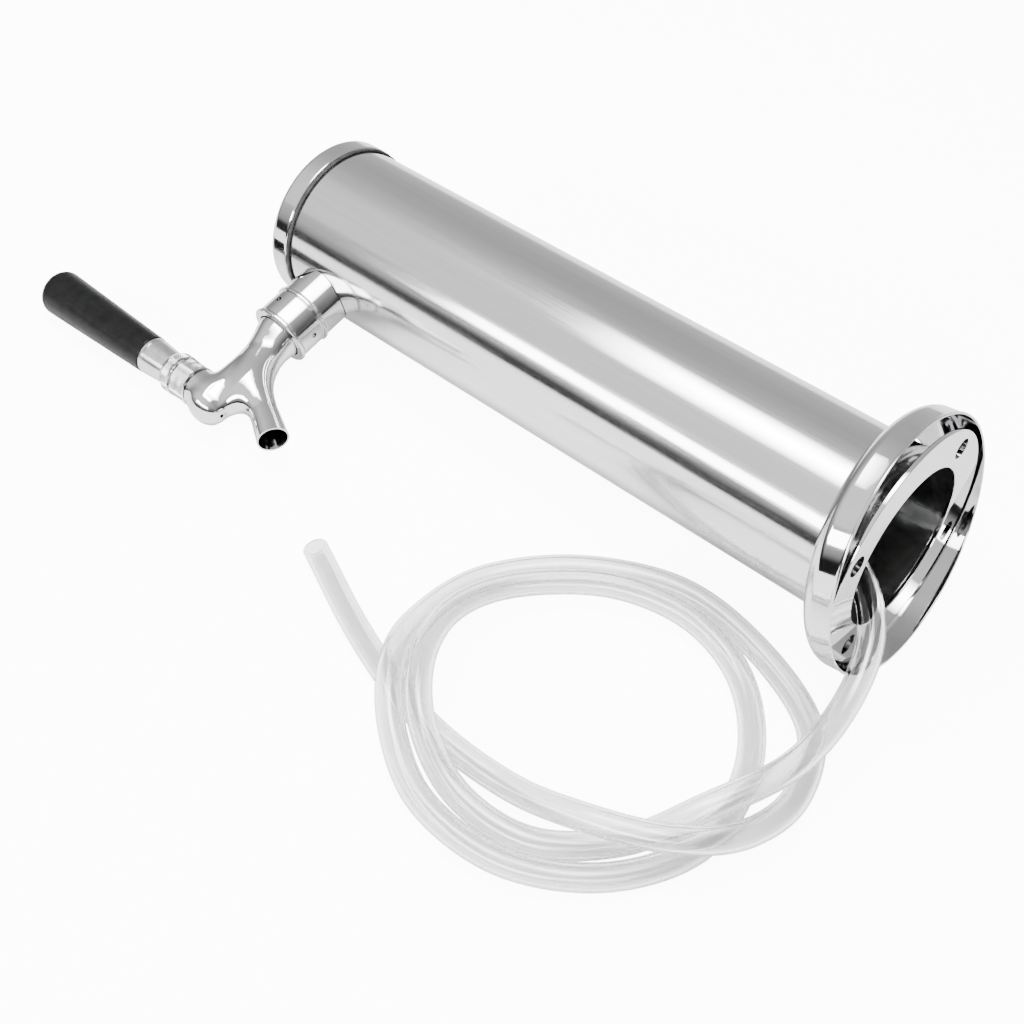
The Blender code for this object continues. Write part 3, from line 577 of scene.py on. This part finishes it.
def make_plate(mats):
    outline = [(PLATE_HOLE_R, 0.0), (PLATE_R, 0.0), (PLATE_R, PLATE_THICK), (PLATE_HOLE_R, PLATE_THICK)]
    plate = mesh_object("foot_plate", turned(outline, FINE, soft=0.5 * MM))
    holes = []
    for degrees in SCREW_TURNS:
        a = math.radians(degrees)
        spot = Matrix.Translation((SCREW_CIRCLE_R * math.cos(a), SCREW_CIRCLE_R * math.sin(a), 0.0))
        holes.append(bar(SCREW_HOLE_R, -MM, 4 * MM, 64, spot))
    cut(plate, *holes)
    settle(plate, mats["chrome"], "tower", ("mounting_plate",))


def make_cap(mats):
    skirt_r = CAP_R - CAP_WALL
    outline = [(0.0, CAP_TOP - CAP_WALL), (skirt_r - 2.4 * MM, CAP_TOP - CAP_WALL),
               (skirt_r, CAP_TOP - CAP_EDGE), (skirt_r, CAP_LOW), (CAP_R - 0.5 * MM, CAP_LOW),
               (CAP_R, CAP_LOW + 0.6 * MM)]
    outline += quarter((CAP_R - CAP_EDGE, CAP_TOP - CAP_EDGE), (CAP_EDGE, CAP_EDGE))
    outline += [(0.0, CAP_TOP)]
    cap = mesh_object("cap", turned(outline, FINE))
    settle(cap, mats["chrome"], "tower", ("top_cap",))


def make_trim(mats):
    low = -TRIM_HEIGHT
    wall_top = low + TRIM_WALL_TOP
    size = (TRIM_WALL_R - TRIM_HOLE_R, TRIM_HEIGHT - TRIM_WALL_TOP)
    inner_size = (size[0] - TRIM_SHEET, size[1] - TRIM_SHEET)
    inner = quarter((TRIM_HOLE_R, wall_top), inner_size, 32)
    inner.reverse()
    outline = [(TRIM_RIM_R, low), (TRIM_RIM_R, low + 0.8 * MM), (TRIM_WALL_R, low + 1.5 * MM)]
    outline += quarter((TRIM_HOLE_R, wall_top), size, 32) + inner
    outline += [(TRIM_RIM_R - TRIM_SHEET, low)]
    trim = mesh_object("trim_cover", turned(outline, FINE, soft=0.3 * MM))
    own = Matrix.Translation(TRIM_PLACE) @ Euler(TRIM_TILT).to_matrix().to_4x4()
    settle(trim, mats["chrome"], "trim", ("trim_ring",), TOWER @ own)


# --- faucet -------------------------------------------------------------------------------------
def make_saddle(mats):
    outline = [(THREAD_R, SADDLE_IN), (SADDLE_R, SADDLE_IN), (SADDLE_R, SADDLE_OUT - 0.3 * MM),
               (SADDLE_R - 0.4 * MM, SADDLE_OUT), (THREAD_R, SADDLE_OUT)]
    saddle = mesh_object("saddle", turned(outline, SMALL, ALONG_SHANK))
    cut(saddle, bar(COLUMN_R + GAP, *SADDLE_CUT, FINE))
    settle(saddle, mats["chrome"], "tower", ("outer_saddle",))


def make_coupling(mats):
    rim_in, rim_out = NUT_IN + NUT_RIM_WIDE, NUT_OUT - NUT_RIM_WIDE
    groove_r = NUT_R - NUT_GROOVE
    outline = [(THREAD_R, NUT_THREAD_OUT), (THREAD_R, NUT_IN), (NUT_RIM_R - 0.5 * MM, NUT_IN),
               (NUT_RIM_R, NUT_IN + 0.5 * MM), (NUT_RIM_R, rim_in - 0.2 * MM),
               (groove_r, rim_in), (groove_r, rim_in + 0.5 * MM), (NUT_R, rim_in + 0.7 * MM),
               (NUT_R, rim_out - 0.7 * MM), (groove_r, rim_out - 0.5 * MM),
               (groove_r, rim_out), (NUT_RIM_R, rim_out + 0.2 * MM),
               (NUT_RIM_R, NUT_OUT - 0.5 * MM), (NUT_RIM_R - 0.5 * MM, NUT_OUT),
               (NUT_LIP_R, NUT_OUT), (NUT_LIP_R, NUT_LIP_IN),
               (NUT_BORE_R, NUT_LIP_IN), (NUT_BORE_R, NUT_BORE_IN)]
    nut = mesh_object("coupling", turned(outline, SMALL, ALONG_SHANK, 0.15 * MM))
    middle = Matrix.Translation((SPANNER_X, 0.0, SHANK_Z))
    holes = []
    for degrees in SPANNER_TURNS:
        turn = middle @ Matrix.Rotation(math.radians(degrees), 4, "X")
        holes.append(bar(SPANNER_HOLE_R, SPANNER_HOLE_LOW, 20 * MM, SPANNER_HOLE_SIDES, turn))
    cut(nut, *holes)
    settle(nut, mats["chrome"], "tower", ("coupling_nut",))


def blend(a, b, reach):
    """The distance to two solids that flow into each other over the given reach."""
    h = np.clip(0.5 + 0.5 * (b - a) / reach, 0.0, 1.0)
    return b * (1.0 - h) + a * h - reach * h * (1.0 - h)


def eased(at, stops, values):
    """Values along a smoothed line through the given stops."""
    count, wide = 400, 24
    fine = np.linspace(stops[0], stops[-1], count)
    table = np.interp(fine, stops, values)
    kernel = np.hanning(2 * wide + 1)
    table = np.convolve(np.pad(table, wide, mode="edge"), kernel / kernel.sum(), mode="valid")
    return np.interp(at, fine, table)


def spout_field(p):
    """Signed distance to the spout, a row of cones end to end."""
    line = np.array([tuple(q) for q in smooth_line(SPOUT_ROUTE, 4)])
    line = np.vstack([line, line[-1] + (line[-1] - line[-2]) * SPOUT_RUN_ON])
    count = len(line)
    stations = [0, count - 9, count - 6, count - 2, count - 1]
    widths = np.interp(np.arange(count), stations, SPOUT_R)
    spout = np.full(p.shape[:-1], FAR_AWAY)
    for a, b, wa, wb in zip(line, line[1:], widths, widths[1:]):
        t = np.clip(((p - a) @ (b - a)) / ((b - a) @ (b - a)), 0.0, 1.0)
        gap = np.linalg.norm(p - a - t[..., None] * (b - a), axis=-1)
        spout = np.minimum(spout, gap - wa - (wb - wa) * t)
    return spout


def faucet_field(p):
    """Signed distance in mm to the cast body of the faucet, at points in mm."""
    x, y, z = p[..., 0], p[..., 1], p[..., 2]
    middle = eased(x, BARREL_STOPS, BARREL_MIDDLE)
    radius = eased(x, BARREL_STOPS, BARREL_R)
    barrel = np.maximum(np.hypot(y, z - middle) - radius, x - BARREL_END)
    nose = np.sqrt(((x - BARREL_END) / NOSE_FLAT) ** 2 + y ** 2 + (z - NOSE_Z) ** 2) - NOSE_R
    nose = np.where(x > BARREL_END, NOSE_SCALE, 1.0) * nose
    low, high = SOCKET_ENDS
    socket = np.maximum(np.hypot(x - SOCKET_X, y) - SOCKET_R, np.maximum(low - z, z - high))
    body = blend(barrel, nose, NOSE_BLEND)
    body = blend(body, socket, SOCKET_BLEND)
    web = np.interp(z - middle, *WEB_BY_HEIGHT) * np.interp(x, *WEB_BY_X)
    return blend(body, spout_field(p), web)


def surface(field, low, high, step):
    """Corners and four-sided faces of the surface where the field is zero, on a grid."""
    axes = [np.arange(a, b + step, step) for a, b in zip(low, high)]
    grid = field(np.stack(np.meshgrid(*axes, indexing="ij"), axis=-1))
    cells = tuple(n - 1 for n in grid.shape)
    total, count = np.zeros(cells + (3,)), np.zeros(cells)

    def shifted(values, offset):
        return values[tuple(slice(o, o + n) for o, n in zip(offset, cells))]

    for axis in range(3):
        unit = np.eye(3, dtype=int)[axis]
        for first in (0, 1):
            for second in (0, 1):
                offset = np.insert(np.array([first, second]), axis, 0)
                a, b = shifted(grid, offset), shifted(grid, offset + unit)
                crossed = (a < 0) != (b < 0)
                share = np.where(crossed, a / np.where(crossed, a - b, 1.0), 0.0)
                total += np.where(crossed[..., None], offset + share[..., None] * unit, 0.0)
                count += crossed
    used = count > 0
    index = np.full(cells, -1)
    index[used] = np.arange(used.sum())
    corners = (np.argwhere(used) + total[used] / count[used][:, None]) * step + np.array(low)
    faces = []
    for axis in range(3):
        unit = np.eye(3, dtype=int)[axis]
        u, v = np.eye(3, dtype=int)[(axis + 1) % 3], np.eye(3, dtype=int)[(axis + 2) % 3]
        inside = grid < 0
        ends = tuple(slice(1, n - 1) for n in grid.shape)
        here = inside[ends]
        there = np.roll(inside, -1, axis)[ends]
        spots = np.argwhere(here != there) + 1
        flip = here[here != there]
        quads = np.stack([index[tuple((spots - o).T)] for o in (0 * u, u, u + v, v)], axis=-1)
        quads[flip] = quads[flip][:, ::-1]
        faces += quads.tolist()
    return corners, faces


def cast_body():
    """The cast body as a mesh: the grid's surface, with its corners then drawn on to the true one."""
    corners, faces = surface(faucet_field, *CAST_BOX, CAST_GRID)
    for _ in range(CAST_ROUNDS):
        slope = np.stack([(faucet_field(corners + d) - faucet_field(corners - d)) / (2 * CAST_NUDGE)
                          for d in np.eye(3) * CAST_NUDGE], axis=-1)
        size = np.maximum((slope ** 2).sum(axis=-1, keepdims=True), LEAST_SLOPE)
        corners = corners - faucet_field(corners)[:, None] * slope / size
    mesh = bpy.data.meshes.new("faucet")
    mesh.from_pydata((corners * MM).tolist(), [], faces)
    bm = bmesh.new()
    bm.from_mesh(mesh)
    bpy.data.meshes.remove(mesh)
    return bm


def trim_off(bm, point, normal, beyond=0.0):
    """Cuts the solid flat at a plane, where its X is over a limit, and closes the cut."""
    corners = [v for v in bm.verts if v.co.x > beyond]
    reached = set(corners)
    geom = corners + [e for e in bm.edges if reached.issuperset(e.verts)]
    geom += [f for f in bm.faces if reached.issuperset(f.verts)]
    made = bmesh.ops.bisect_plane(bm, geom=geom, plane_co=point, plane_no=normal, clear_outer=True)
    rim = [e for e in made["geom_cut"] if isinstance(e, bmesh.types.BMEdge)]
    bmesh.ops.contextual_create(bm, geom=rim)


def spout_bore(line, out):
    """The passage down the spout as a solid, flared at the mouth and standing out of it."""
    inside = line[SPOUT_BORE_FROM:] + [line[-1] + out * 3 * MM]
    radii = []
    for i in range(len(inside)):
        share = max(0.0, 1.0 - (len(inside) - 2 - i) / SPOUT_FLARE_STEPS)
        radii.append(SPOUT_BORE_R + SPOUT_FLARE * share ** 1.5)
    return solid_sweep(inside, radii, 64)


def make_faucet(mats):
    bm = cast_body()
    line = [q * MM for q in smooth_line(SPOUT_ROUTE, 8)]
    out = (line[-1] - line[-2]).normalized()
    trim_off(bm, Vector((0, 0, SOCKET_TOP)), Vector((0, 0, 1)), SOCKET_FROM)
    trim_off(bm, line[-1], out)
    trim_off(bm, Vector((NECK_END, 0, 0)), Vector((-1, 0, 0)))
    faucet = mesh_object("faucet", bm)
    cut(faucet, spout_bore(line, out), bar(SOCKET_BORE_R, *SOCKET_BORE, 64, AT_LEVER),
        bar(VALVE_BORE_R, *VALVE_BORE, 48, ALONG_SHANK), bar(VENT_R, 0.0, VENT_DEEP, 24, VENT))
    mend(faucet)
    settle(faucet, mats["chrome"], "tower", ("faucet_body",))


def knurl(bm, wall, low, high, pitch):
    """Presses crossed grooves into the turned wall round the lever, between two heights."""
    for vert in bm.verts:
        x, y, z = vert.co.x - LEVER_X, vert.co.y, vert.co.z
        radius = math.hypot(x, y)
        if not low < z < high or radius < wall:
            continue
        around = KNURLS * math.atan2(y, x) / (2 * math.pi)
        along = z / pitch
        heights = [2 * abs(t - round(t)) for t in (around + along, around - along)]
        depth = KNURL_DEPTH * (1.0 - min(heights))
        scale = (radius - depth) / radius
        vert.co = Vector((LEVER_X + x * scale, y * scale, z))


def wall_rows(radius, low, high, rows):
    """Points up a plain wall, close enough together for knurls to be pressed in it."""
    return [(radius, low + (high - low) * k / rows) for k in range(rows + 1)]


def make_bonnet(mats):
    low, high = BONNET_LOW + 0.4 * MM, BONNET_TOP - 0.8 * MM
    outline = [(BONNET_R - 0.7 * MM, BONNET_LOW), *wall_rows(BONNET_R, low, high, BONNET_ROWS),
               (BONNET_R - 0.6 * MM, BONNET_TOP), (BONNET_EYE_R, BONNET_TOP), (BONNET_EYE_R, BONNET_SHELF),
               (BONNET_NECK_R + GAP, BONNET_SHELF), (BONNET_NECK_R + GAP, BONNET_LOW)]
    bm = turned(outline, 6 * KNURLS, AT_LEVER, 0.05 * MM)
    knurl(bm, BONNET_R - 0.5 * MM, low, high, BONNET_PITCH)
    settle(mesh_object("bonnet_nut", bm), mats["chrome"], "tower", ("bonnet",))


def make_collar(mats):
    low, high = COLLAR_LOW + 0.4 * MM, COLLAR_LOW + 4.2 * MM
    dish_out, dish_in, dish_top = COLLAR_DISH
    outline = [(dish_in, dish_top), (dish_out, COLLAR_LOW), *wall_rows(COLLAR_R, low, high, COLLAR_ROWS),
               (COLLAR_R - 0.25 * MM, high + 0.1 * MM), (COLLAR_TOP_R, COLLAR_TOP - 0.3 * MM),
               (COLLAR_TOP_R - 0.4 * MM, COLLAR_TOP), (STEM_R + GAP, COLLAR_TOP), (STEM_R + GAP, dish_top)]
    bm = turned(outline, 6 * KNURLS, AT_LEVER, 0.05 * MM)
    knurl(bm, COLLAR_R - 0.3 * MM, low, high, COLLAR_PITCH)
    settle(mesh_object("collar", bm), mats["chrome"], "tap_lever", ("lever_collar",))


def make_ferrule(mats):
    low, step = COLLAR_TOP + GAP, FERRULE_TOP - FERRULE_STEP
    outline = [(STEM_R + GAP, low), (FERRULE_LOW_R - 0.2 * MM, low), (FERRULE_LOW_R, low + 0.4 * MM),
               (FERRULE_R, step), (FERRULE_R - 0.35 * MM, step + 0.2 * MM),
               (FERRULE_R - 0.35 * MM, step + 0.5 * MM), (FERRULE_R, step + 0.7 * MM),
               (FERRULE_R, FERRULE_TOP), (STEM_R + GAP, FERRULE_TOP)]
    ferrule = mesh_object("handle_ferrule", turned(outline, SMALL, AT_LEVER, 0.12 * MM))
    settle(ferrule, mats["satin_chrome"], "tap_lever", ("ferrule",))


def make_handle(mats):
    low, bore = FERRULE_TOP + GAP, STEM_R + GAP
    edge_middle = (HANDLE_TOP_R - HANDLE_EDGE, HANDLE_END - HANDLE_EDGE)
    outline = [(0.0, HANDLE_BORE_END), (bore, HANDLE_BORE_END), (bore, low),
               (HANDLE_LOW_R - 0.3 * MM, low), (HANDLE_LOW_R, low + 0.5 * MM)]
    outline += quarter(edge_middle, (HANDLE_EDGE, HANDLE_EDGE))
    outline += [(3 * MM, HANDLE_END + 0.45 * MM), (0.0, HANDLE_END + 0.6 * MM)]
    handle = mesh_object("handle", turned(outline, SMALL, AT_LEVER))
    settle(handle, mats["black_plastic"], "tap_lever", ("tap_handle",))


def dress_kept(mats):
    for node, finish in KEPT.items():
        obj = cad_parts[node]
        obj.data.materials.clear()
        obj.data.materials.append(mats[finish])


# --- floor, world and lights --------------------------------------------------------------------
def make_floor():
    mesh = bpy.data.meshes.new("table")
    bm = bmesh.new()
    bmesh.ops.create_circle(bm, cap_ends=True, segments=96, radius=TABLE_R)
    bm.to_mesh(mesh)
    bm.free()
    table = bpy.data.objects.new("table", mesh)
    table.location = (0.0, 0.0, -TABLE_DROP)
    bpy.context.scene.collection.objects.link(table)
    finish = Finish("table_white", (0.88, 0.88, 0.88), 0.0, 0.6)
    finish.roughen(finish.noise(30 * MM), 0.55, 0.65)
    add_glow(finish)
    mesh.materials.append(finish.mat)


def add_glow(finish):
    """Light given off towards the camera and, less of it, through the hose, but on to nothing else."""
    nodes, links = finish.nodes, finish.links
    path = nodes.new("ShaderNodeLightPath").outputs
    through = math_node(finish.mat.node_tree, "MULTIPLY", path["Is Transmission Ray"], TABLE_GLOW_THROUGH)
    seen = math_node(finish.mat.node_tree, "ADD", path["Is Camera Ray"], through)
    glow = nodes.new("ShaderNodeEmission")
    glow.inputs["Color"].default_value = (1.0, 1.0, 1.0, 1.0)
    links.new(math_node(finish.mat.node_tree, "MULTIPLY", seen, TABLE_GLOW), glow.inputs["Strength"])
    both = nodes.new("ShaderNodeAddShader")
    links.new(finish.shader.outputs[0], both.inputs[0])
    links.new(glow.outputs[0], both.inputs[1])
    links.new(both.outputs[0], nodes["Material Output"].inputs["Surface"])


def math_node(tree, operation, first, second=None):
    """Arithmetic on one or two values, each a number or the output of another node."""
    node = tree.nodes.new("ShaderNodeMath")
    node.operation = operation
    for socket, value in zip(node.inputs, (first, second)):
        if isinstance(value, float):
            socket.default_value = value
        elif value is not None:
            tree.links.new(value, socket)
    return node.outputs[0]


def make_world():
    world = bpy.data.worlds.new("studio")
    world.use_nodes = True
    bpy.context.scene.world = world
    tree = world.node_tree
    background = tree.nodes["Background"]
    background.inputs["Color"].default_value = (1.0, 1.0, 1.0, 1.0)
    split = tree.nodes.new("ShaderNodeSeparateXYZ")
    tree.links.new(tree.nodes.new("ShaderNodeTexCoord").outputs["Generated"], split.inputs[0])
    x, y, z = split.outputs
    room = room_brightness(tree, y, z)
    foot_end = math_node(tree, "POWER", math_node(tree, "MAXIMUM", x, 0.0), ROOM_FOOT_END[0])
    minus_x = math_node(tree, "MULTIPLY", x, -1.0)
    cap_end = math_node(tree, "POWER", math_node(tree, "MAXIMUM", minus_x, 0.0), ROOM_CAP_END[0])
    rest = math_node(tree, "SUBTRACT", 1.0, math_node(tree, "ADD", foot_end, cap_end))
    side = math_node(tree, "ADD", math_node(tree, "MULTIPLY", room, rest),
                     math_node(tree, "MULTIPLY", cap_end, ROOM_CAP_END[1]))
    side = math_node(tree, "ADD", side, math_node(tree, "MULTIPLY", foot_end, ROOM_FOOT_END[1]))
    seen = tree.nodes.new("ShaderNodeLightPath").outputs["Is Camera Ray"]
    unseen = math_node(tree, "SUBTRACT", 1.0, seen)
    strength = math_node(tree, "ADD", math_node(tree, "MULTIPLY", side, unseen),
                         math_node(tree, "MULTIPLY", seen, ROOM_SEEN))
    tree.links.new(strength, background.inputs["Strength"])


def room_brightness(tree, y, z):
    """The room's walls and ceiling, as bands that run the length of the column."""
    angle = math_node(tree, "ARCTAN2", math_node(tree, "MULTIPLY", y, -1.0), z)
    share = math_node(tree, "ADD", math_node(tree, "DIVIDE", angle, 2 * math.pi), 0.5)
    ramp = tree.nodes.new("ShaderNodeValToRGB")
    stops = ramp.color_ramp.elements
    top = max(value for _, value in ROOM)
    stops.remove(stops[1])
    for degrees, value in ROOM:
        stop = stops[0] if degrees == -180 else stops.new(degrees / 360 + 0.5)
        stop.color = (value / top, value / top, value / top, 1.0)
    tree.links.new(share, ramp.inputs["Fac"])
    return math_node(tree, "MULTIPLY", ramp.outputs["Color"], top)


def softbox(name, low, high, facing, glow):
    """A rectangular lamp, unseen by the camera, of the given brightness, between two corners."""
    data = bpy.data.lights.new(name, "AREA")
    data.shape = "RECTANGLE"
    low, high = Vector(low), Vector(high)
    lamp = bpy.data.objects.new(name, data)
    lamp.location = (low + high) / 2
    turn = Vector(facing).to_track_quat("-Z", "Y")
    lamp.rotation_mode = "QUATERNION"
    lamp.rotation_quaternion = turn
    span = turn.inverted() @ (high - low)
    data.size, data.size_y = abs(span.x), abs(span.y)
    data.energy = glow * math.pi * data.size * data.size_y
    lamp.visible_camera = False
    bpy.context.scene.collection.objects.link(lamp)


def make_lights():
    """Lamps stacked overhead, each larger and a little higher, and a long strip on the -Y side."""
    for k in range(OVERHEAD_LAYERS):
        half, end, far = 0.06 + 0.045 * k, -0.38 - 0.035 * k, 0.25 + 0.05 * k
        height = 1.05 + 0.012 * k
        softbox("overhead_%d" % k, (end, -half, height), (far, half, height), (0, 0, -1),
                OVERHEAD_GLOW / OVERHEAD_LAYERS)
    softbox("strip", *STRIP, (0, 1, -0.35), STRIP_GLOW)


# --- everything ---------------------------------------------------------------------------------
make_camera()
finishes = make_finishes()
make_hose(finishes)
make_column(finishes)
make_plate(finishes)
make_cap(finishes)
make_trim(finishes)
make_saddle(finishes)
make_coupling(finishes)
make_faucet(finishes)
make_bonnet(finishes)
make_collar(finishes)
make_ferrule(finishes)
make_handle(finishes)
dress_kept(finishes)
make_floor()
make_world()
make_lights()
